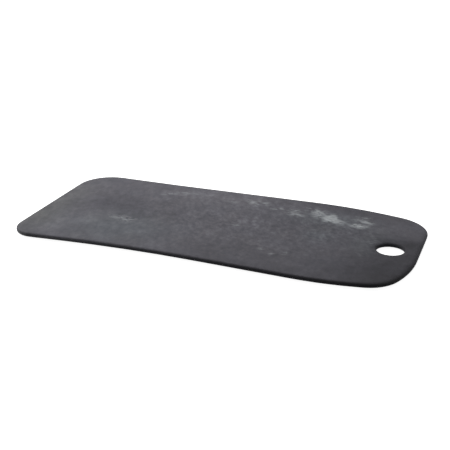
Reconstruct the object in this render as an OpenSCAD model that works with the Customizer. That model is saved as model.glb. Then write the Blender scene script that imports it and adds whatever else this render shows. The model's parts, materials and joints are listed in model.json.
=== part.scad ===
// Slate serving board
// A thin slab of honed slate with an easy, hand-drawn outline: a square plain end, slightly waisted
// sides and a broad rounded end with a finger hole. It stands on four stick-on rubber feet.
// +X runs from the plain end to the hole end, +Y from the front edge to the back edge, +Z is up.
// The origin lies on the table, under the middle of the slab's outline. Sizes are in millimetres.

/* [Slab] */
// Overall length, from the plain end to the hole end
length = 450; // [380:1:600]
// Width between the front and back corner lines, which the rounded outline just stays inside
width = 217; // [180:1:280]
// Thickness of the slate
slab_t = 5.3; // [4:0.1:10]
// Radius of the rounding along the upper and lower edges
edge_r = 2.1; // [0.5:0.1:2.5]

/* [Plain end] */
// Front corner point, measured in from the front line
end_front_y = 0; // [0:0.5:10]
// Radius of the front corner
end_front_r = 26; // [10:1:45]
// Back corner point, measured in from the back line
end_back_y = 9; // [0:0.5:18]
// Radius of the back corner
end_back_r = 42; // [10:1:60]

/* [Waist] */
// Front waist point, measured from the plain end
waist_front_x = 146; // [110:1:180]
// Front waist point, measured in from the front line
waist_front_y = 14.5; // [10:0.5:24]
// Radius of the hollow curve at the front waist
waist_front_r = 1200; // [300:10:2000]
// Back waist point, measured from the plain end
waist_back_x = 121; // [100:1:180]
// Back waist point, measured in from the back line
waist_back_y = 8.5; // [7:0.5:20]
// Radius of the hollow curve at the back waist
waist_back_r = 870; // [300:10:2000]

/* [Shoulders] */
// Front shoulder point, measured from the hole end
shoulder_front_x = 80; // [60:1:120]
// Front shoulder point, measured in from the front line
shoulder_front_y = 8; // [0:0.5:14]
// Radius of the front shoulder
shoulder_front_r = 320; // [80:10:500]
// Back shoulder point, measured from the hole end
shoulder_back_x = 91; // [65:1:120]
// Back shoulder point, measured in from the back line
shoulder_back_y = 1.5; // [0:0.5:9]
// Radius of the back shoulder
shoulder_back_r = 430; // [80:10:600]

/* [Hole end] */
// Front cheek point, measured from the hole end
cheek_front_x = 18; // [10:0.5:35]
// Front cheek point, measured in from the front line
cheek_front_y = 20; // [14:0.5:30]
// Radius of the front cheek
cheek_front_r = 40; // [20:1:60]
// Front end of the blunt tip, measured in from the front line
tip_front_y = 67; // [54:0.5:78]
// Radius that leads the front cheek into the tip
tip_front_r = 135; // [40:1:200]
// Back end of the blunt tip, measured in from the back line
tip_back_y = 40; // [34:0.5:58]
// Radius that leads the tip into the back cheek
tip_back_r = 37; // [15:1:60]
// Back cheek point, measured from the hole end
cheek_back_x = 21; // [12:0.5:35]
// Back cheek point, measured in from the back line
cheek_back_y = 18; // [11:0.5:26]
// Radius of the back cheek
cheek_back_r = 50; // [20:1:70]

/* [Finger hole] */
// Diameter of the hole
hole_d = 30; // [18:0.5:40]
// Distance of the hole's centre from the hole end
hole_x = 31.5; // [28:0.5:60]
// Radius of the rounding at the hole's two rims
hole_edge_r = 2.3; // [0.3:0.1:2.4]

/* [Feet] */
// Diameter of a rubber foot at its top, where it meets the slab
foot_d = 16; // [8:0.5:30]
// How far the foot's side leans in from its top to its base
foot_lean = 1; // [0:0.1:2]
// Height of a rubber foot
foot_t = 2; // [1:0.1:6]
// Radius of the rounding at the foot's lower edge
foot_edge_r = 0.6; // [0.2:0.1:0.9]
// Distance of a foot's centre from the end of the slab
foot_inset_x = 55; // [30:1:100]
// Distance of a foot's centre from the front or back line
foot_inset_y = 44.5; // [34:0.5:70]
// Thickness of the adhesive disc above a foot
glue_t = 0.2; // [0.1:0.05:0.6]
// Distance of the adhesive disc's rim inside the foot's rim
glue_margin = 0.5; // [0.2:0.1:2]

/* [Hidden] */

slate_colour = "#414244";
rubber_colour = "#17171a";
adhesive_colour = "#d9d6cc";

// Fineness of the curves
$fn = 96;
arc_step = 3;
least_arc_steps = 4;
round_steps = 6;

// Share of an edge that its two fillets may use up, so that a straight stretch is left
edge_fill = 0.99;
// Straight wall that stays between an upper and a lower rounding
least_wall = 0.4;
// How far the hole's cutter passes the faces of the slab
cut_over = 0.3;

right_angle = 90;
slab_z = foot_t + glue_t;
round_r = min(edge_r, (slab_t - least_wall) / 2);
hole_round_r = min(hole_edge_r, (slab_t - least_wall) / 2);
foot_round_r = min(foot_edge_r, foot_t - least_wall);

// Y of a place that is measured in from the front line, and of one measured in from the back line
function from_front(inset) = inset - width / 2;
function from_back(inset) = width / 2 - inset;

// Corner points of the outline, anticlockwise seen from above: x from the plain end, y, fillet radius
corners = [
    [0, from_front(end_front_y), end_front_r],
    [waist_front_x, from_front(waist_front_y), waist_front_r],
    [length - shoulder_front_x, from_front(shoulder_front_y), shoulder_front_r],
    [length - cheek_front_x, from_front(cheek_front_y), cheek_front_r],
    [length, from_front(tip_front_y), tip_front_r],
    [length, from_back(tip_back_y), tip_back_r],
    [length - cheek_back_x, from_back(cheek_back_y), cheek_back_r],
    [length - shoulder_back_x, from_back(shoulder_back_y), shoulder_back_r],
    [waist_back_x, from_back(waist_back_y), waist_back_r],
    [0, from_back(end_back_y), end_back_r]
];
corner_count = len(corners);

function corner(i) = corners[(i + corner_count) % corner_count];
function corner_point(i) = [corner(i).x, corner(i).y];
function heading(i) = let (v = corner_point(i + 1) - corner_point(i)) v / norm(v);

// Angle that the outline turns by at a corner: above zero it bulges out, below zero it is hollow
function turn(i) =
    let (a = heading(i - 1), b = heading(i))
    atan2(a.x * b.y - a.y * b.x, a * b);

// Length of edge between a corner point and the start of its fillet, at the wanted radius
function reach(i) = corner(i)[2] * tan(abs(turn(i)) / 2);

// Share of the wanted fillets for which the edge after corner i has room
function room(i) =
    min(1, edge_fill * norm(corner_point(i + 1) - corner_point(i)) / (reach(i) + reach(i + 1)));

function turned(v, angle) = [
    v.x * cos(angle) - v.y * sin(angle),
    v.x * sin(angle) + v.y * cos(angle)
];

// Fillet of a corner, as pairs of a point and the outward normal there
function fillet(i) =
    let (
        share = min(room(i - 1), room(i)),
        bulge = sign(turn(i)) * corner(i)[2] * share,
        first_normal = [heading(i - 1).y, -heading(i - 1).x],
        start = corner_point(i) - heading(i - 1) * reach(i) * share,
        centre = start - first_normal * bulge,
        steps = max(least_arc_steps, ceil(abs(turn(i)) / arc_step))
    )
    [for (k = [0:steps])
        let (normal = turned(first_normal, turn(i) * k / steps))
        [centre + normal * bulge, normal]];

outline = [for (i = [0:corner_count - 1]) each fillet(i)];
outline_y = [for (at = outline) at[0].y];
outline_middle = [length, max(outline_y) + min(outline_y)] / 2;
outline_count = len(outline);

// Angles of a quarter round, from the wall to the face
function quarter(r) = r > 0 ? [for (k = [0:round_steps]) right_angle * k / round_steps] : [0];

// Section through the slab's edge from the lower to the upper face: distance inside the outline, height
edge_section = concat(
    [for (a = quarter(round_r)) [round_r * (1 - sin(a)), round_r * (1 - cos(a))]],
    [for (a = quarter(round_r)) [round_r * (1 - cos(a)), slab_t - round_r * (1 - sin(a))]]
);
ring_count = len(edge_section);

// The outline drawn in by one step of the edge section
function ring(step) = [for (at = outline)
    let (p = at[0] - at[1] * step.x - outline_middle)
    [p.x, p.y, step.y]];

// Body of the slab: the outline lofted through its rounded edge
module slab_body() {
    lower_face = [for (i = [0:outline_count - 1]) i];
    upper_face = [for (i = [1:outline_count]) ring_count * outline_count - i];
    edge_faces = [for (j = [0:ring_count - 2], i = [0:outline_count - 1])
        let (low = j * outline_count, next = (i + 1) % outline_count)
        [low + i, low + outline_count + i, low + outline_count + next, low + next]];
    polyhedron(
        points = [for (step = edge_section) each ring(step)],
        faces = concat([lower_face, upper_face], edge_faces),
        convexity = 6
    );
}

// Space of the finger hole: a straight bore that opens through a quarter round at each face
module hole_space() {
    bore_r = hole_d / 2;
    angles = quarter(hole_round_r);
    last_angle = angles[round_steps - 1];
    flare = cut_over * cos(last_angle) / (1 - sin(last_angle));
    mouth_r = bore_r + hole_round_r + flare;
    upper_rim = [for (a = angles)
        [bore_r + hole_round_r * (1 - cos(a)), slab_t - hole_round_r * (1 - sin(a))]];
    inner_rim = [for (k = [0:round_steps - 1]) upper_rim[k]];
    lower_rim = [for (k = [1:round_steps]) let (p = upper_rim[round_steps - k]) [p.x, slab_t - p.y]];
    rotate_extrude()
        polygon(concat(
            [[0, -cut_over], [mouth_r, -cut_over]],
            lower_rim,
            inner_rim,
            [[mouth_r, slab_t + cut_over], [0, slab_t + cut_over]]
        ));
}

module slate_slab() {
    color(slate_colour)
        translate([0, 0, slab_z])
        difference() {
            slab_body();
            translate([length / 2 - hole_x, 0, 0])
                hole_space();
        }
}

// Places of the feet: name, side along X, Y
feet = [
    ["front_left", -1, from_front(foot_inset_y)],
    ["front_right", 1, from_front(foot_inset_y)],
    ["back_left", -1, from_back(foot_inset_y)],
    ["back_right", 1, from_back(foot_inset_y)]
];

module at_foot(place) {
    translate([place[1] * (length / 2 - foot_inset_x), place[2], 0])
        children();
}

// A round rubber foot that narrows to its base, with a rounded lower edge
module foot(place) {
    side_angle = atan2(foot_t, foot_lean);
    round_reach = foot_round_r * tan(side_angle / 2);
    lower_edge = [for (k = [0:round_steps])
        let (a = side_angle * k / round_steps)
        [foot_d / 2 - foot_lean - round_reach + foot_round_r * sin(a), foot_round_r * (1 - cos(a))]];
    color(rubber_colour)
        at_foot(place)
        rotate_extrude()
        polygon(concat([[0, 0]], lower_edge, [[foot_d / 2, foot_t], [0, foot_t]]));
}

// The adhesive disc that holds a foot to the underside of the slab
module adhesive(place) {
    color(adhesive_colour)
        at_foot(place)
        translate([0, 0, foot_t])
        cylinder(d = foot_d - 2 * glue_margin, h = glue_t);
}

slate_slab();
for (place = feet) {
    foot(place);
    adhesive(place);
}
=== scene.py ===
"""Looks of a slate serving board: a honed slab with chalky clouding, stick-on feet and a pale studio."""

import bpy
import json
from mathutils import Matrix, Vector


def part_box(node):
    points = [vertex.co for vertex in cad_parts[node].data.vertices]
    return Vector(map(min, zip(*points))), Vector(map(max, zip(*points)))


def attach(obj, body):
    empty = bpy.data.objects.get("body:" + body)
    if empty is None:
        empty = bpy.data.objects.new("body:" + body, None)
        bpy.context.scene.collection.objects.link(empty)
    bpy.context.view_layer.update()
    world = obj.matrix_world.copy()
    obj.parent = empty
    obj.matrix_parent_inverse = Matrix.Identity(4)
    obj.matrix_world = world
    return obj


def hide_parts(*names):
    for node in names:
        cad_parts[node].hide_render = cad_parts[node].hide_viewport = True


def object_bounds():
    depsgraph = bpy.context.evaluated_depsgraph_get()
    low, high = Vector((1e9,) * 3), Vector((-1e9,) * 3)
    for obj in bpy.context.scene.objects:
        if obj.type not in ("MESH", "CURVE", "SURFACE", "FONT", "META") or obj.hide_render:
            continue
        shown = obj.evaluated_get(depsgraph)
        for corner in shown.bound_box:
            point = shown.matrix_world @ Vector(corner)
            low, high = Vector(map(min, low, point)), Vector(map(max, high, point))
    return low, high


bl_info = {
    "name": "Slate serving board",
    "version": (1, 0, 0),
    "blender": (4, 5, 0),
    "location": "View3D > Sidebar > Slate board",
    "description": "Dresses the packed slate serving board and sets its studio",
    "category": "Object",
}

import json
import math

import bmesh
import bpy
from bpy.props import FloatProperty, FloatVectorProperty, IntProperty, PointerProperty
from mathutils import Vector, geometry, noise

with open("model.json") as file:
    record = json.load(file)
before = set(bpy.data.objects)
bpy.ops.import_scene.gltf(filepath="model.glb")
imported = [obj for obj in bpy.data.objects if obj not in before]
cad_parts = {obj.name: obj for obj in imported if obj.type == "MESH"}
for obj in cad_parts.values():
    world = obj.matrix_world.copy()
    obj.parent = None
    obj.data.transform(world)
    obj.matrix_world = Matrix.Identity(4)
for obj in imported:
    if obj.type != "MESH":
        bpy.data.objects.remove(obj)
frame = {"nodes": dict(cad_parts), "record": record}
CAD_LOW, CAD_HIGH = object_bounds()

BODY = "root"
SLAB_NODE = "slate_slab"
FOOT_NODES = sorted(name for name in frame["nodes"] if name.endswith("_foot"))
ADHESIVE_NODES = sorted(name for name in frame["nodes"] if name.endswith("_adhesive"))
FULL_TURN = 2 * math.pi
MM = 0.001

# Chalky marks on the serving face. Each is its middle x and y and its half length and half width in
# millimetres, its turn in degrees and its strength.
CHALK_MARKS = (
    (94, 70, 16, 9, -42, 0.76),
    (112, 61, 11, 6, 75, 1.05),
    (121, 53, 9, 6, -30, 0.95),
    (147, 50, 8, 6, -10, 1.05),
    (149, 65, 10, 5, -8, 0.60),
    (147, 76, 8, 4, 0, 0.44),
    (157, 60, 4, 7, 20, 0.24),
    (64, 66, 6, 9, 0, 0.50),
    (68, 54, 6, 5, 0, 0.46),
    (76, 57, 5, 3, -30, 0.44),
    (10, 74, 10, 4, -45, 0.62),
    (23, 78, 9, 5, -30, 0.50),
    (43, 67, 9, 4, 10, 0.40),
    (-14, 68, 12, 5, 82, 0.30),
    (16, 2, 8, 6, 0, 0.24),
    (-127, -25, 10, 5, 20, 0.28),
    (-117, -28, 10, 6, -35, 0.28),
    (-106, -29, 10, 6, -60, 0.28),
    (-98, 66, 9, 5, 30, 0.34),
    (-78, 75, 12, 6, 10, 0.28),
    (90, -52, 3, 5, 0, 0.30),
    (77, -58, 3, 5, 0, 0.30),
    (63, -50, 4, 4, 0, 0.26),
    (170, 10, 9, 14, 0, 0.14),
    (168, -20, 8, 10, 0, 0.10),
)

# Parts of the serving face where use has speckled the stone most, in the same form
WORN_PLACES = (
    (35, 12, 130, 75, 0, 0.95),
    (138, 36, 34, 26, 0, 0.60),
)

# Broad lighter and darker clouds, in the same form, with a change of tone for the strength. They mix the
# stone's own clouding with painted shade along the front, at the front right corner and beside the finger
# hole
TONE_CLOUDS_AND_PAINTED_SHADE = (
    (-190, -55, 60, 40, 0, 0.08),
    (-210, 10, 25, 30, 0, 0.04),
    (-148, 0, 50, 24, -3, -0.19),
    (-165, 30, 40, 18, 0, -0.06),
    (-175, 88, 45, 20, 0, -0.04),
    (-70, 85, 75, 25, 0, 0.15),
    (10, 85, 60, 22, 0, 0.06),
    (-70, -50, 55, 38, 0, 0.10),
    (-120, -88, 80, 14, 0, 0.05),
    (0, 35, 55, 35, 0, 0.06),
    (60, 5, 80, 50, 0, 0.06),
    (120, 92, 45, 12, -8, -0.22),
    (140, 30, 45, 10, -8, -0.08),
    (155, 52, 50, 30, 0, 0.11),
    (167, 3, 12, 22, 0, 0.09),
    (112, 10, 14, 12, 0, 0.06),
    (100, 64, 45, 20, -10, 0.05),
    # Painted shade beside the finger hole, where its rim turns away from the light
    (214, 18, 18, 10, 0, -0.30),
    (184, 18, 9, 5, -10, -0.22),
    (175, 2, 6, 7, 0, -0.27),
    # Painted shade along the front and at the front right corner
    (205, -78, 80, 50, 15, -0.34),
    (215, -45, 40, 60, 0, -0.20),
    (50, -72, 45, 34, 0, -0.15),
    (40, -97, 60, 12, 0, -0.07),
)

# Painted shade on the slab's rounded edges alone, darkest at the front right corner, and painted light on
# its upright wall alone at the left front, in the same form
PAINTED_EDGE_SHADE = (
    (-150, -105, 80, 40, 0, -0.14),
    (40, -105, 90, 40, 0, -0.22),
    (185, -70, 100, 80, 0, -0.34),
)
PAINTED_WALL_LIGHT = (
    (-205, -95, 100, 70, 0, 0.50),
)

# Places where pale dust cools the stone's colour, and where the plain end is less blue, in the same form
DUST_VEILS = (
    (-115, -52, 55, 36, 8, 1.0),
    (115, 55, 42, 20, 0, 1.0),
    (170, 5, 20, 28, 0, 0.8),
    (110, 9, 16, 16, 0, 0.8),
)
PLAIN_END = (-220, -35, 26, 80, 0, 1.0)

# Painted shade round the finger hole, reaching further towards its far side: reach past the bore and shift
# to the back in millimetres, and the change of tone
HOLE_SHADE_REACH = 12
HOLE_SHADE_SHIFT = 6
HOLE_SHADE_TONE = -0.2

# Layers of unevenness in the shape: scale per metre along x and y, level in the noise, weight
WANDER_LAYERS = (
    (35, 35, 1.7, 0.5),
    (150, 150, 5.2, 0.25),
)
HONE_LAYERS = (
    (14, 22, 3.1, 0.5),
    (60, 75, 8.7, 0.3),
)
CLEFT_LAYERS = (
    (18, 30, 6.4, 1.0),
    (70, 95, 2.2, 0.4),
)
NOISE_MIDDLE = 0.5

# The split underside: how steeply it steps from layer to layer, the margins that stay flat round a foot
# and round a point of the edge, the fade from there to the full depth, and the step from one measured
# point of the edge to the next
CLEFT_STEEPNESS = 3
FOOT_MARGIN = 1.5 * MM
EDGE_MARGIN = 5 * MM
FLAT_FADE = 9 * MM
EDGE_SKIP = 4

# Reading the outline: half height of the upright wall as a share of the thickness, and the digits of a
# metre to which two vertices are one point
WALL_SHARE = 1 / 6
POINT_DIGITS = 5

# Filling a face: gap between its border and its inner points as a share of their spacing, distance within
# which points merge, and the way of filling that keeps the inside alone
BORDER_GAP = 0.6
MERGE_DISTANCE = 1e-7
FILL_INSIDE = 1

# Noise in the materials: size in millimetres, detail, roughness, stretch along x, y and z, turn in
# radians, warp
CHALK_PATCHES = (8, 3, 0.55, (1.6, 1, 1), math.radians(-50), 0.4)
CHALK_FLECKS = (2.8, 3, 0.6, (2.6, 1, 1), math.radians(3))
SPECKLE = (6, 4, 0.62, (0.9, 1.4, 1), 0.6, 0.3)
TINT_DRIFT = (42, 2, 0.5, (1, 1, 1), 1.1)
STONE_GRIT = (0.7, 3, 0.65)
RUBBER_GRAIN = (0.35, 3, 0.6)
RUBBER_SMUDGE = (5, 4, 0.6)
FILM_CLOUD = (2, 4, 0.6)

# Weight and noise of the layers in the stone's tone: two of clouds, two of mottling, fine grain and
# faint lines
TONE_LAYERS = (
    (0.30, (120, 2, 0.5, (1.5, 1, 1), 0.3, 0.6)),
    (0.34, (38, 3, 0.5, (1.2, 1, 1), -0.5, 0.4)),
    (0.46, (12, 3, 0.55, (0.9, 1.35, 1), 0.35, 0.3)),
    (0.32, (5, 3, 0.6, (0.9, 1.45, 1), 0.1)),
    (0.12, (1.1, 2, 0.6)),
    (0.04, (5, 4, 0.6, (7, 1, 0.1), -0.15)),
)

# Fades: the two values that a fade runs between and, where they aren't 0 and 1, what it gives there
FLECK_FADE = (0.32, 0.68, 0.5, 1.1)
COVER_FADE = (0.95, 1.30)
CHALK_FACE_FADE = (0.3, 0.9)
NOT_UNDER_FADE = (-0.6, -0.1)
EDGE_FADE = (1.0, 0.8)
WALL_FADE = (0.6, 0.2)
STONE_FADE = (-0.4, 0.4)
DRIFT_FADE = (0.35, 0.65)
POLISH_FADE = (-0.2, 0.2)
SMUDGE_DUST_FADE = (0.5, 0.8)
GRAIN_DUST_FADE = (0.45, 0.7)
RUBBER_POLISH_FADE = (0.3, 0.7, 0.68, 0.85)
FILM_FADE = (0.35, 0.7)
FILM_POLISH_FADE = (0.3, 0.7, 0.35, 0.5)

# How much a strong mark fills its gaps, how far the stone's roughness strays with its tone, how much
# rougher chalk is, and how grey the film's clouds are
CHALK_FILL = 0.35
POLISH_SPREAD = 0.06
CHALK_ROUGHNESS = 0.18
FILM_GREY = 0.8

# Fine relief: strength and height, and the shares of grit and tone in the stone's
STONE_RELIEF = (0.3, 0.12 * MM)
GRIT_SHARE = 0.4
TONE_SHARE = 0.6
RUBBER_RELIEF = (0.4, 0.05 * MM)
FILM_RELIEF = (0.2, 0.03 * MM)

# Sockets of a Mix node that mixes colours
MIX_INPUTS = (0, 6, 7)
MIX_RESULT = 2

# The camera's sensor in millimetres, and the floor's half width and how far it lies under the feet
SENSOR_MM = 36
FLOOR_HALF = 6.0
FLOOR_DROP = 0.1 * MM


def length(label, text, value):
    """A size in metres that the sidebar can change."""
    return FloatProperty(name=label, description=text, default=value, unit="LENGTH", precision=5)


def place(label, text, value):
    """A place in metres that the sidebar can change."""
    return FloatVectorProperty(
        name=label, description=text, default=value, size=3, subtype="TRANSLATION", unit="LENGTH"
    )


def angle(label, text, degrees):
    """An angle that the sidebar can change."""
    return FloatProperty(name=label, description=text, default=math.radians(degrees), subtype="ANGLE")


def colour(label, text, value):
    """A linear colour that the sidebar can change."""
    return FloatVectorProperty(
        name=label, description=text, default=value, size=3, min=0, max=1, subtype="COLOR"
    )


def amount(label, text, value):
    """A plain number that the sidebar can change."""
    return FloatProperty(name=label, description=text, default=value, min=0)


def count(label, text, value):
    """A whole number that the sidebar can change."""
    return IntProperty(name=label, description=text, default=value, min=2)


class SlateSettings(bpy.types.PropertyGroup):
    """Shape and finish of the slate slab."""

    edge_round: length("Edge rounding", "Radius of the rounding along the slab's edges", 2.1 * MM)
    edge_reach: length("Edge reach", "How far the rounding runs onto the serving face", 2.3 * MM)
    end_reach: length("End reach", "How far it runs onto the face at the hole end", 6.5 * MM)
    end_drop: length("End drop", "How far it runs down the wall at the hole end", 3 * MM)
    end_turn: angle("End turn", "Direction from the board's middle in which that is so", -25)
    hole_round: length("Hole rounding", "Radius of the rounding at the hole's rims", 2.3 * MM)
    hole_wear: length("Hole wear", "Extra reach of the hole's upper rounding where it is rubbed", 2.2 * MM)
    hole_wear_turn: angle("Hole wear turn", "Direction of that place from the hole's middle", 150)
    edge_spacing: length("Edge spacing", "Distance of the points along the outline", 2 * MM)
    top_spacing: length("Top spacing", "Distance of the points on the serving face", 2.6 * MM)
    under_spacing: length("Under spacing", "Distance of the points on the underside", 4.5 * MM)
    hone_depth: length("Hone depth", "Depth of the gentle hollows that honing leaves", 0.1 * MM)
    cleft_depth: length("Cleft depth", "Depth of the split face on the underside", 0.3 * MM)
    wander: length("Edge wander", "How far the hand-finished edge strays inwards", 0.2 * MM)
    round_steps: count("Rounding steps", "Steps in a rounding", 7)
    hole_points: count("Hole points", "Points round the hole", 120)
    ease_passes: count("Easing passes", "How often the outline's points are evened out", 4)
    dark: colour("Dark slate", "Colour of dark clouds at the mean tone", (0.101, 0.098, 0.115))
    light: colour("Light slate", "Colour of light clouds at the mean tone", (0.101, 0.099, 0.110))
    contrast: amount("Contrast", "How many times lighter one unit of tone makes the stone", 6.3)
    warm_tint: colour("Warm tint", "Tint of the warmer drifts", (1.0, 0.995, 0.985))
    cool_tint: colour("Cool tint", "Tint of the cooler drifts", (0.99, 0.995, 1.0))
    dust_tint: colour("Dust tint", "Tint of the places with pale dust", (0.935, 1.0, 0.98))
    end_tint: colour("End tint", "Tint of the plain end", (0.97, 1.0, 0.91))
    chalk: colour("Chalk", "Colour of the chalky smears", (0.455, 0.475, 0.49))
    roughness: amount("Roughness", "Mean roughness of the honed face", 0.72)
    gloss: amount("Gloss", "Specular level of the stone", 0.1)


class FootSettings(bpy.types.PropertyGroup):
    """Finish of the rubber feet and their adhesive."""

    rubber: colour("Rubber", "Colour of the feet", (0.012, 0.012, 0.013))
    dust: colour("Dust", "Colour of the dust in the rubber's grain", (0.06, 0.058, 0.055))
    film: colour("Adhesive", "Colour of the adhesive film", (0.66, 0.64, 0.58))


class StageSettings(bpy.types.PropertyGroup):
    """Camera, floor and lamps."""

    elevation: angle("Elevation", "Camera angle above the table", 23)
    azimuth: angle("Azimuth", "Camera turn about the board", 21.243)
    distance: length("Distance", "From the camera to the point that it looks at", 982.2 * MM)
    aim_x: length("Aim x", "Point on the serving face that the camera looks at", 2.26 * MM)
    aim_y: length("Aim y", "Point on the serving face that the camera looks at", -3.16 * MM)
    focal_mm: amount("Focal length", "Lens in millimetres for a sensor 36 mm wide", 68)
    floor: colour("Floor", "Colour of the table in the light that it throws back", (0.18, 0.18, 0.18))
    floor_white: colour("Floor white", "Colour of the table to the eye", (0.8, 0.8, 0.8))
    floor_glow: amount("Floor glow", "Brightness that makes the table look white", 0.95)
    glow_near: length("Glow near", "Distance from the board up to which the table has that brightness", 0.7)
    glow_far: length("Glow far", "Distance from which the table is as white as the room", 2.0)
    room_white: amount("Room white", "Brightness of the room to the eye", 1.0)
    key_place: place("Key place", "Middle of the lamp at the plain end", (-0.7, 0.05, 0.47))
    key_power: amount("Key power", "Watts of the lamp at the plain end", 4.6)
    key_size: length("Key size", "Width of the lamp at the plain end", 0.5)
    top_place: place("Top place", "Middle of the overhead softbox", (-0.2, 0.5, 1.3))
    top_power: amount("Top power", "Watts of the overhead softbox", 11.1)
    top_size: length("Top size", "Width of the overhead softbox", 1.2)
    ambient: amount("Ambient", "Brightness of the room", 0.05)


def link(obj):
    """Puts a new object into the scene."""
    bpy.context.scene.collection.objects.link(obj)
    return obj


# Slab shape


def kept(value):
    """A value kept between 0 and 1."""
    return min(1.0, max(0.0, value))


def uneven(p, layers):
    """Sum of a few layers of noise about zero."""
    return sum(
        weight * noise.noise(Vector((p.x * x_scale, p.y * y_scale, level)))
        for x_scale, y_scale, level, weight in layers
    )


def hole_mount():
    """Middle and radius of the finger hole, in metres."""
    mount = next(m for m in frame["record"]["mounts"] if m["kind"] == "bore")
    return Vector(mount["pos_m"][:2]), mount["dims"]["r_mm"] * MM


def cad_outline():
    """Outline of the slab's wall, anticlockwise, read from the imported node."""
    low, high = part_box(SLAB_NODE)
    middle_z, thick = (low.z + high.z) / 2, high.z - low.z
    hole, radius = hole_mount()
    found = {}
    for vertex in frame["nodes"][SLAB_NODE].data.vertices:
        flat = vertex.co.to_2d()
        on_wall = abs(vertex.co.z - middle_z) < thick * WALL_SHARE
        if on_wall and (flat - hole).length > radius + thick:
            found[(round(flat.x, POINT_DIGITS), round(flat.y, POINT_DIGITS))] = flat
    return sorted(found.values(), key=lambda p: math.atan2(p.y, p.x))


def evenly(points, spacing):
    """Points at an even spacing along a closed line."""
    runs = [(a, b, (b - a).length) for a, b in zip(points, points[1:] + points[:1])]
    total = sum(run for _, _, run in runs)
    number = round(total / spacing)
    placed, gone = [], 0.0
    for a, b, run in runs:
        while len(placed) < number and len(placed) * total / number < gone + run:
            placed.append(a.lerp(b, (len(placed) * total / number - gone) / run))
        gone += run
    return placed


def eased(points, passes):
    """A closed line with its corners evened out."""
    for _ in range(passes):
        before, after = points[-1:] + points[:-1], points[1:] + points[:1]
        points = [(a + 2 * p + b) / 4 for a, p, b in zip(before, points, after)]
    return points


def slab_loop(settings):
    """The slab's wall from above: points, outward normals, reach and drop of the upper rounding."""
    points = eased(evenly(cad_outline(), settings.edge_spacing), settings.ease_passes)
    end_way = Vector((math.cos(settings.end_turn), math.sin(settings.end_turn)))
    loop = []
    for i, p in enumerate(points):
        along = (points[(i + 1) % len(points)] - points[i - 1]).normalized()
        normal = Vector((along.y, -along.x))
        stray = kept(NOISE_MIDDLE + uneven(p, WANDER_LAYERS))
        facing_end = max(0.0, normal.dot(end_way)) ** 2
        reach = settings.edge_reach + (settings.end_reach - settings.edge_reach) * facing_end
        drop = settings.edge_round + (settings.end_drop - settings.edge_round) * facing_end
        loop.append((p - normal * settings.wander * stray, normal, reach, drop))
    return loop


def hole_loop(settings):
    """The hole's wall from above: points, normals to its middle, reach and drop of the upper rounding."""
    hole, radius = hole_mount()
    loop = []
    for i in range(settings.hole_points):
        turn = FULL_TURN * i / settings.hole_points
        spoke = Vector((math.cos(turn), math.sin(turn)))
        worn = max(0.0, math.cos(turn - settings.hole_wear_turn)) ** 2
        reach = settings.hole_round + settings.hole_wear * worn
        loop.append((hole + spoke * radius, -spoke, reach, settings.hole_round))
    return loop


def drawn_in(loop, inset=None, more=0.0):
    """A loop's points, moved in from the wall by an inset, or else by their own reach."""
    return [p - normal * ((reach if inset is None else inset) + more) for p, normal, reach, _ in loop]


def grid_inside(ring, spacing):
    """Points of a triangular grid that lie inside a closed ring."""
    row_gap = spacing * math.sqrt(3) / 2
    low = min(p.y for p in ring)
    rows = int((max(p.y for p in ring) - low) / row_gap)
    points = []
    for row in range(1, rows + 1):
        y = low + row * row_gap
        shift = row % 2 / 2
        sides = [(a, b) for a, b in zip(ring, ring[1:] + ring[:1]) if (a.y > y) != (b.y > y)]
        hits = sorted(a.x + (b.x - a.x) * (y - a.y) / (b.y - a.y) for a, b in sides)
        for start, end in zip(hits[::2], hits[1::2]):
            columns = range(math.ceil(start / spacing - shift), math.floor(end / spacing - shift) + 1)
            points += [Vector(((column + shift) * spacing, y)) for column in columns]
    return points


def face_triangles(outer, inner, insets, spacing):
    """Points and triangles of a flat face between the roundings of the slab's edge and of the hole."""
    hole, _ = hole_mount()
    margin = spacing * BORDER_GAP
    edge, rim = drawn_in(outer, insets[0]), drawn_in(inner, insets[1])

    def past_rim(p):
        """How far a point lies outside the hole's rim."""
        away = p - hole
        turn = math.atan2(away.y, away.x) / FULL_TURN
        return away.length - (rim[round(turn * len(rim)) % len(rim)] - hole).length

    grid = [p for p in grid_inside(drawn_in(outer, insets[0], margin), spacing) if past_rim(p) > margin]
    split = len(edge)
    rim_sides = [(split + i, split + (i + 1) % len(rim)) for i in range(len(rim))]
    border = [list(range(split))]
    filled = geometry.delaunay_2d_cdt(edge + rim + grid, rim_sides, border, FILL_INSIDE, MERGE_DISTANCE)
    points, triangles = filled[0], filled[2]
    middles = [sum((points[i] for i in t), Vector((0, 0))) / 3 for t in triangles]
    return points, [t for t, middle in zip(triangles, middles) if past_rim(middle) > 0]


def honed(p, settings):
    """Depth of the honed serving face below its high spots."""
    return settings.hone_depth * kept(NOISE_MIDDLE + uneven(p, HONE_LAYERS))


def foot_seats():
    """Middle and radius of each foot, seen from above."""
    boxes = [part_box(name) for name in FOOT_NODES]
    return [(((low + high) / 2).to_2d(), (high.x - low.x) / 2) for low, high in boxes]


def cleft(p, settings, flat_places):
    """Depth of the split underside, which stays flat near the edges and where the feet are stuck."""
    nearest = min((p - middle).length - radius for middle, radius in flat_places)
    fade = kept(nearest / FLAT_FADE)
    steps = 0.5 + 0.5 * math.tanh(CLEFT_STEEPNESS * uneven(p, CLEFT_LAYERS))
    return settings.cleft_depth * fade * steps


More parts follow.
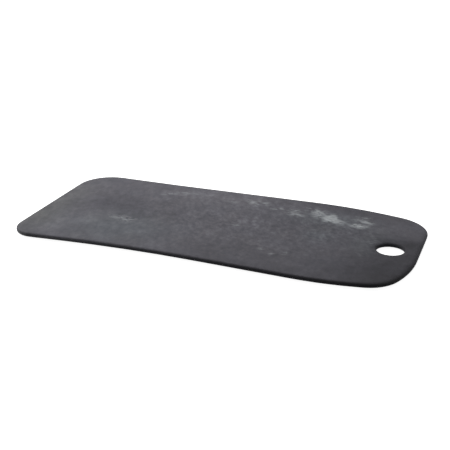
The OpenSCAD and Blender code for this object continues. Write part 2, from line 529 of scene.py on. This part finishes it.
def slab_mesh(settings):
    """Closed mesh of the slab: two filled faces, the rounded outer edge and the rounded hole."""
    low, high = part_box(SLAB_NODE)
    thick = high.z - low.z
    outer, inner = slab_loop(settings), hole_loop(settings)
    quarter = [math.pi / 2 * k / settings.round_steps for k in range(settings.round_steps + 1)]
    bm = bmesh.new()

    def vertex(p, height):
        """A point of the upper half is lowered by its share of the honing."""
        sunk = honed(p, settings) * max(0.0, 2 * height / thick - 1)
        return bm.verts.new((p.x, p.y, low.z + height - sunk))

    def edge_rings(loop, radius):
        """Rings of vertices round an edge, from the lower to the upper face, skinned with quads."""
        shares = [(1 - math.sin(a), 1 - math.cos(a)) for a in quarter]
        rings = []
        for inset, rise in shares:
            rings.append([vertex(p, radius * rise) for p in drawn_in(loop, radius * inset)])
        for fall, inset in shares:
            lowered = [(p - normal * reach * inset, thick - drop * fall) for p, normal, reach, drop in loop]
            rings.append([vertex(p, height) for p, height in lowered])
        for below, above in zip(rings, rings[1:]):
            for i in range(len(loop)):
                j = (i + 1) % len(loop)
                bm.faces.new((below[i], below[j], above[j], above[i]))
        return rings

    outer_rings = edge_rings(outer, settings.edge_round)
    inner_rings = edge_rings(inner, settings.hole_round)
    flat_places = [(middle, radius + FOOT_MARGIN) for middle, radius in foot_seats()]
    flat_places += [(p, EDGE_MARGIN) for p, *_ in outer[::EDGE_SKIP]]
    under = (0, (settings.edge_round, settings.hole_round), settings.under_spacing)
    over = (-1, (None, None), settings.top_spacing)
    for side, insets, spacing in (under, over):
        points, triangles = face_triangles(outer, inner, insets, spacing)
        corners = outer_rings[side] + inner_rings[side]
        for p in points[len(corners):]:
            corners.append(vertex(p, thick) if side else vertex(p, cleft(p, settings, flat_places)))
        for triangle in triangles:
            bm.faces.new([corners[i] for i in triangle])
    bmesh.ops.recalc_face_normals(bm, faces=bm.faces)
    mesh = bpy.data.meshes.new("slate_board")
    bm.to_mesh(mesh)
    bm.free()
    mesh.shade_smooth()
    return mesh


# Materials


class Finish:
    """A new material with short calls for its nodes."""

    def __init__(self, name):
        self.material = bpy.data.materials.new(name)
        self.material.use_nodes = True
        self.tree = self.material.node_tree
        self.shader = self.tree.nodes["Principled BSDF"]
        coordinates = self.add("ShaderNodeTexCoord")
        self.where = coordinates.outputs["Object"]
        self.facing = coordinates.outputs["Normal"]

    def add(self, kind, **values):
        """A new node."""
        made = self.tree.nodes.new(kind)
        for key, value in values.items():
            setattr(made, key, value)
        return made

    def put(self, socket, value):
        """Joins a socket to another one, or sets its value."""
        if isinstance(value, bpy.types.NodeSocket):
            self.tree.links.new(value, socket)
        else:
            socket.default_value = value

    def shade(self, name, value):
        """Joins or sets one of the shader's sockets."""
        self.put(self.shader.inputs[name], value)

    def calc(self, operation, *values, clamp=False):
        """A sum, product or other step of arithmetic."""
        made = self.add("ShaderNodeMath", operation=operation, use_clamp=clamp)
        for socket, value in zip(made.inputs, values):
            self.put(socket, value)
        return made.outputs[0]

    def total(self, *weighted):
        """Sum of pairs of a value and its weight."""
        parts = [self.calc("MULTIPLY", value, weight) for value, weight in weighted]
        result = parts[0]
        for part in parts[1:]:
            result = self.calc("ADD", result, part)
        return result

    def grain(self, size, detail, rough, stretch=(1, 1, 1), turn=0.0, warp=0.0):
        """Noise about 0.5 with features about size millimetres across, stretched and turned about z."""
        lie = self.add("ShaderNodeMapping", vector_type="TEXTURE")
        self.put(lie.inputs["Vector"], self.where)
        lie.inputs["Rotation"].default_value = (0, 0, turn)
        lie.inputs["Scale"].default_value = stretch
        made = self.add("ShaderNodeTexNoise")
        self.put(made.inputs["Vector"], lie.outputs[0])
        made.inputs["Scale"].default_value = 1 / (size * MM)
        made.inputs["Detail"].default_value = detail
        made.inputs["Roughness"].default_value = rough
        made.inputs["Distortion"].default_value = warp
        return made.outputs["Fac"]

    def fade(self, value, start, end, first=0.0, last=1.0):
        """A smooth change from first to last as a value goes from start to end, and no further."""
        made = self.add("ShaderNodeMapRange", interpolation_type="SMOOTHSTEP", clamp=False)
        for socket, given in zip(made.inputs, (value, start, end, first, last)):
            self.put(socket, given)
        return made.outputs[0]

    def oval(self, x, y, half_long, half_wide, turn, peak):
        """A soft spot on the plan view that falls to half its peak at its half length and half width.

        It is one gradient texture with its own placement, which takes little of the shader's memory.
        """
        made = self.add("ShaderNodeTexGradient", gradient_type="SPHERICAL")
        self.put(made.inputs["Vector"], self.where)
        lie = made.texture_mapping
        lie.vector_type = "TEXTURE"
        lie.mapping_z = "NONE"
        lie.translation = (x * MM, y * MM, 0)
        lie.rotation = (0, 0, math.radians(turn))
        lie.scale = (2 * half_long * MM, 2 * half_wide * MM, 1)
        return self.fade(made.outputs["Fac"], 0.0, 1.0, 0.0, peak)

    def sum_of(self, ovals):
        """Sum of several soft spots."""
        whole = self.oval(*ovals[0])
        for spot in ovals[1:]:
            whole = self.calc("ADD", whole, self.oval(*spot))
        return whole

    def rise(self):
        """Upward part of the normal: 1 on the serving face, 0 on a wall, -1 on the underside."""
        parts = self.add("ShaderNodeSeparateXYZ")
        self.put(parts.inputs[0], self.facing)
        return parts.outputs["Z"]

    def mix(self, factor, first, second, blend="MIX"):
        """One colour changed to another, or blended with it, by a factor."""
        made = self.add("ShaderNodeMix", data_type="RGBA", blend_type=blend)
        for index, value in zip(MIX_INPUTS, (factor, first, second)):
            self.put(made.inputs[index], (*value, 1) if isinstance(value, tuple) else value)
        return made.outputs[MIX_RESULT]

    def bump(self, height, strength, distance):
        """Fine relief."""
        made = self.add("ShaderNodeBump")
        self.put(made.inputs["Height"], height)
        made.inputs["Strength"].default_value = strength
        made.inputs["Distance"].default_value = distance
        self.shade("Normal", made.outputs[0])


def chalk_smears(slate):
    """Strength of the chalky marks: soft ovals that break up into wiped flecks where they are thin."""
    field = slate.calc("MINIMUM", slate.sum_of(CHALK_MARKS), 1.0)
    patches = slate.grain(*CHALK_PATCHES)
    flecks = slate.grain(*CHALK_FLECKS)
    cover = slate.total((patches, 1.0), (flecks, 1.0), (field, CHALK_FILL))
    streaked = slate.calc("MULTIPLY", field, slate.fade(flecks, *FLECK_FADE))
    marks = slate.calc("MULTIPLY", streaked, slate.fade(cover, *COVER_FADE), clamp=True)
    return slate.calc("MULTIPLY", marks, slate.fade(slate.rise(), *CHALK_FACE_FADE))


def slate_tone(slate):
    """Change of tone about zero: clouds with painted shade, mottling, grain, painted shade on the edges,
    painted light on the wall and painted shade round the finger hole.
    """
    layers = [(slate.grain(*layer), weight) for weight, layer in TONE_LAYERS]
    middle = NOISE_MIDDLE * sum(weight for _, weight in layers)
    change = slate.calc("SUBTRACT", slate.total(*layers), middle)
    speckle = slate.calc("SUBTRACT", slate.grain(*SPECKLE), NOISE_MIDDLE)
    change = slate.calc("ADD", change, slate.calc("MULTIPLY", speckle, slate.sum_of(WORN_PLACES)))
    rise = slate.rise()
    not_under = slate.fade(rise, *NOT_UNDER_FADE)
    # Tone clouds and painted shade, kept off the underside
    change = slate.calc("ADD", change, slate.calc("MULTIPLY", slate.sum_of(TONE_CLOUDS_AND_PAINTED_SHADE), not_under))
    tilt = slate.calc("ABSOLUTE", rise)
    # Painted shade on the front edges and painted light on the left front wall, each kept to its own slope
    for clouds, limits in ((PAINTED_EDGE_SHADE, EDGE_FADE), (PAINTED_WALL_LIGHT, WALL_FADE)):
        shown = slate.calc("MULTIPLY", slate.sum_of(clouds), slate.fade(tilt, *limits))
        change = slate.calc("ADD", change, shown)
    hole, radius = hole_mount()
    reach = radius / MM + HOLE_SHADE_REACH
    # Painted shade round the finger hole, reaching further towards its far side
    rubbed = slate.oval(hole.x / MM, hole.y / MM + HOLE_SHADE_SHIFT, reach, reach, 0, HOLE_SHADE_TONE)
    return slate.calc("ADD", change, rubbed)


def slate_material(settings):
    """Honed slate: clouds and mottling with painted light and shade worked into its tone, a drift of tint,
    chalky smears and a fine grain.
    """
    slate = Finish("honed_slate")
    tone = slate_tone(slate)
    stone = slate.mix(slate.fade(tone, *STONE_FADE), tuple(settings.dark), tuple(settings.light))
    stone = slate.mix(1.0, stone, slate.calc("POWER", settings.contrast, tone), "MULTIPLY")
    drift = slate.fade(slate.grain(*TINT_DRIFT), *DRIFT_FADE)
    tint = slate.mix(drift, tuple(settings.warm_tint), tuple(settings.cool_tint))
    stone = slate.mix(1.0, stone, tint, "MULTIPLY")
    stone = slate.mix(slate.sum_of(DUST_VEILS), stone, tuple(settings.dust_tint), "MULTIPLY")
    stone = slate.mix(slate.oval(*PLAIN_END), stone, tuple(settings.end_tint), "MULTIPLY")
    chalk = chalk_smears(slate)
    slate.shade("Base Color", slate.mix(chalk, stone, tuple(settings.chalk)))
    smooth, rough = settings.roughness - POLISH_SPREAD, settings.roughness + POLISH_SPREAD
    polish = slate.fade(tone, *POLISH_FADE, smooth, rough)
    slate.shade("Roughness", slate.calc("ADD", polish, slate.calc("MULTIPLY", chalk, CHALK_ROUGHNESS)))
    slate.shade("Specular IOR Level", settings.gloss)
    grit = slate.grain(*STONE_GRIT)
    slate.bump(slate.total((grit, GRIT_SHARE), (tone, TONE_SHARE)), *STONE_RELIEF)
    return slate.material


def rubber_material(settings):
    """Matt black rubber with a fine moulded grain and dust in its hollows."""
    rubber = Finish("foot_rubber")
    grain = rubber.grain(*RUBBER_GRAIN)
    smudge = rubber.grain(*RUBBER_SMUDGE)
    in_smudge, in_grain = rubber.fade(smudge, *SMUDGE_DUST_FADE), rubber.fade(grain, *GRAIN_DUST_FADE)
    dusty = rubber.calc("MULTIPLY", in_smudge, in_grain)
    rubber.shade("Base Color", rubber.mix(dusty, tuple(settings.rubber), tuple(settings.dust)))
    rubber.shade("Roughness", rubber.fade(smudge, *RUBBER_POLISH_FADE))
    rubber.bump(grain, *RUBBER_RELIEF)
    return rubber.material


def film_material(settings):
    """Milky adhesive film with a slight cloudiness."""
    film = Finish("adhesive_film")
    cloud = film.grain(*FILM_CLOUD)
    greyed = tuple(FILM_GREY * part for part in settings.film)
    film.shade("Base Color", film.mix(film.fade(cloud, *FILM_FADE), greyed, tuple(settings.film)))
    film.shade("Roughness", film.fade(cloud, *FILM_POLISH_FADE))
    film.bump(cloud, *FILM_RELIEF)
    return film.material


def dress(node_names, material):
    """Gives carried-over CAD nodes a material."""
    for name in node_names:
        mesh = frame["nodes"][name].data
        mesh.materials.clear()
        mesh.materials.append(material)


# Stage


def place_camera(settings):
    """Camera at the photograph's angle, looking at a point on the serving face."""
    camera = link(bpy.data.objects.new("camera", bpy.data.cameras.new("camera")))
    turn, rise = settings.azimuth, settings.elevation
    back = Vector((math.sin(turn) * math.cos(rise), -math.cos(turn) * math.cos(rise), math.sin(rise)))
    camera.location = Vector((settings.aim_x, settings.aim_y, CAD_HIGH.z)) + back * settings.distance
    camera.rotation_euler = (math.pi / 2 - rise, 0, turn)
    camera.data.lens = settings.focal_mm
    camera.data.sensor_width = SENSOR_MM
    bpy.context.scene.camera = camera


def white_to_the_eye(tree, plain, white, output):
    """Shows the white shader to camera, glossy and transmission rays and the plain one to the rest."""
    path = tree.nodes.new("ShaderNodeLightPath")
    seen = path.outputs["Is Camera Ray"]
    for name in ("Is Glossy Ray", "Is Transmission Ray"):
        either = tree.nodes.new("ShaderNodeMath")
        either.operation = "MAXIMUM"
        tree.links.new(seen, either.inputs[0])
        tree.links.new(path.outputs[name], either.inputs[1])
        seen = either.outputs[0]
    choice = tree.nodes.new("ShaderNodeMixShader")
    tree.links.new(seen, choice.inputs[0])
    tree.links.new(plain.outputs[0], choice.inputs[1])
    tree.links.new(white.outputs[0], choice.inputs[2])
    tree.links.new(choice.outputs[0], output.inputs["Surface"])


def lay_floor(settings):
    """A wide pale floor that looks white and keeps a soft shadow."""
    sides = ((-1, -1), (1, -1), (1, 1), (-1, 1))
    corners = [(x * FLOOR_HALF, y * FLOOR_HALF, -FLOOR_DROP) for x, y in sides]
    mesh = bpy.data.meshes.new("floor")
    mesh.from_pydata(corners, [], [(0, 1, 2, 3)])
    link(bpy.data.objects.new("floor", mesh))
    material = bpy.data.materials.new("floor")
    material.use_nodes = True
    mesh.materials.append(material)
    tree = material.node_tree
    tree.nodes.clear()
    matt, pale = [tree.nodes.new("ShaderNodeBsdfDiffuse") for _ in range(2)]
    matt.inputs["Color"].default_value = (*settings.floor, 1)
    pale.inputs["Color"].default_value = (*settings.floor_white, 1)
    glow = tree.nodes.new("ShaderNodeEmission")
    away = tree.nodes.new("ShaderNodeVectorMath")
    away.operation = "LENGTH"
    tree.links.new(tree.nodes.new("ShaderNodeTexCoord").outputs["Object"], away.inputs[0])
    strength = tree.nodes.new("ShaderNodeMapRange")
    tree.links.new(away.outputs["Value"], strength.inputs["Value"])
    strength.inputs["From Min"].default_value = settings.glow_near
    strength.inputs["From Max"].default_value = settings.glow_far
    strength.inputs["To Min"].default_value = settings.floor_glow
    strength.inputs["To Max"].default_value = settings.room_white
    tree.links.new(strength.outputs["Result"], glow.inputs["Strength"])
    white = tree.nodes.new("ShaderNodeAddShader")
    tree.links.new(pale.outputs[0], white.inputs[0])
    tree.links.new(glow.outputs[0], white.inputs[1])
    white_to_the_eye(tree, matt, white, tree.nodes.new("ShaderNodeOutputMaterial"))


def light_room(settings):
    """A dim even room that looks white."""
    world = bpy.data.worlds.new("room")
    world.use_nodes = True
    bpy.context.scene.world = world
    tree = world.node_tree
    tree.nodes.clear()
    dim, white = [tree.nodes.new("ShaderNodeBackground") for _ in range(2)]
    for background, strength in ((dim, settings.ambient), (white, settings.room_white)):
        background.inputs["Color"].default_value = (1, 1, 1, 1)
        background.inputs["Strength"].default_value = strength
    white_to_the_eye(tree, dim, white, tree.nodes.new("ShaderNodeOutputWorld"))


def soft_lamp(name, power, size, where):
    """A square softbox that faces the board."""
    light = bpy.data.lights.new(name, "AREA")
    light.energy = power
    light.size = size
    lamp = link(bpy.data.objects.new(name, light))
    lamp.location = where
    lamp.rotation_euler = (-lamp.location).to_track_quat("-Z", "Y").to_euler()


# Operators and panel


class SLATEBOARD_OT_stage(bpy.types.Operator):
    """Set the camera, the pale floor and the soft lamps"""

    bl_idname = "slate_board.stage"
    bl_label = "Studio"

    def execute(self, context):
        settings = context.scene.slate_board_stage
        context.scene.view_settings.view_transform = "Standard"
        place_camera(settings)
        lay_floor(settings)
        light_room(settings)
        soft_lamp("key", settings.key_power, settings.key_size, settings.key_place)
        soft_lamp("overhead", settings.top_power, settings.top_size, settings.top_place)
        return {"FINISHED"}


class SLATEBOARD_OT_slab(bpy.types.Operator):
    """Build the slate slab in place of its CAD node"""

    bl_idname = "slate_board.slab"
    bl_label = "Slate slab"

    def execute(self, context):
        settings = context.scene.slate_board_slab
        slab = link(bpy.data.objects.new("slate_board", slab_mesh(settings)))
        slab.data.materials.append(slate_material(settings))
        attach(slab, BODY)
        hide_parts(SLAB_NODE)
        return {"FINISHED"}


class SLATEBOARD_OT_feet(bpy.types.Operator):
    """Give the stick-on feet their rubber"""

    bl_idname = "slate_board.feet"
    bl_label = "Rubber feet"

    def execute(self, context):
        dress(FOOT_NODES, rubber_material(context.scene.slate_board_feet))
        return {"FINISHED"}


class SLATEBOARD_OT_adhesive(bpy.types.Operator):
    """Give the adhesive discs their milky film"""

    bl_idname = "slate_board.adhesive"
    bl_label = "Adhesive discs"

    def execute(self, context):
        dress(ADHESIVE_NODES, film_material(context.scene.slate_board_feet))
        return {"FINISHED"}


class SLATEBOARD_PT_panel(bpy.types.Panel):
    """Sidebar panel with the board's settings and steps"""

    bl_idname = "SLATEBOARD_PT_panel"
    bl_label = "Slate board"
    bl_space_type = "VIEW_3D"
    bl_region_type = "UI"
    bl_category = "Slate board"

    def draw(self, context):
        for operator, group in STEPS:
            box = self.layout.box()
            box.operator(operator.bl_idname)
            settings = getattr(context.scene, group)
            for key in GROUPS[group].__annotations__:
                box.prop(settings, key)


STEPS = (
    (SLATEBOARD_OT_stage, "slate_board_stage"),
    (SLATEBOARD_OT_slab, "slate_board_slab"),
    (SLATEBOARD_OT_feet, "slate_board_feet"),
    (SLATEBOARD_OT_adhesive, "slate_board_feet"),
)
GROUPS = {
    "slate_board_stage": StageSettings,
    "slate_board_slab": SlateSettings,
    "slate_board_feet": FootSettings,
}


def register():
    for group, kind in GROUPS.items():
        bpy.utils.register_class(kind)
        setattr(bpy.types.Scene, group, PointerProperty(type=kind))
    for operator, _ in STEPS:
        bpy.utils.register_class(operator)
    bpy.utils.register_class(SLATEBOARD_PT_panel)


def unregister():
    bpy.utils.unregister_class(SLATEBOARD_PT_panel)
    for operator, _ in STEPS:
        bpy.utils.unregister_class(operator)
    for group, kind in GROUPS.items():
        delattr(bpy.types.Scene, group)
        bpy.utils.unregister_class(kind)


def main():
    register()
    bpy.ops.slate_board.stage()
    bpy.ops.slate_board.slab()
    bpy.ops.slate_board.feet()
    bpy.ops.slate_board.adhesive()


if __name__ == "__main__":
    main()
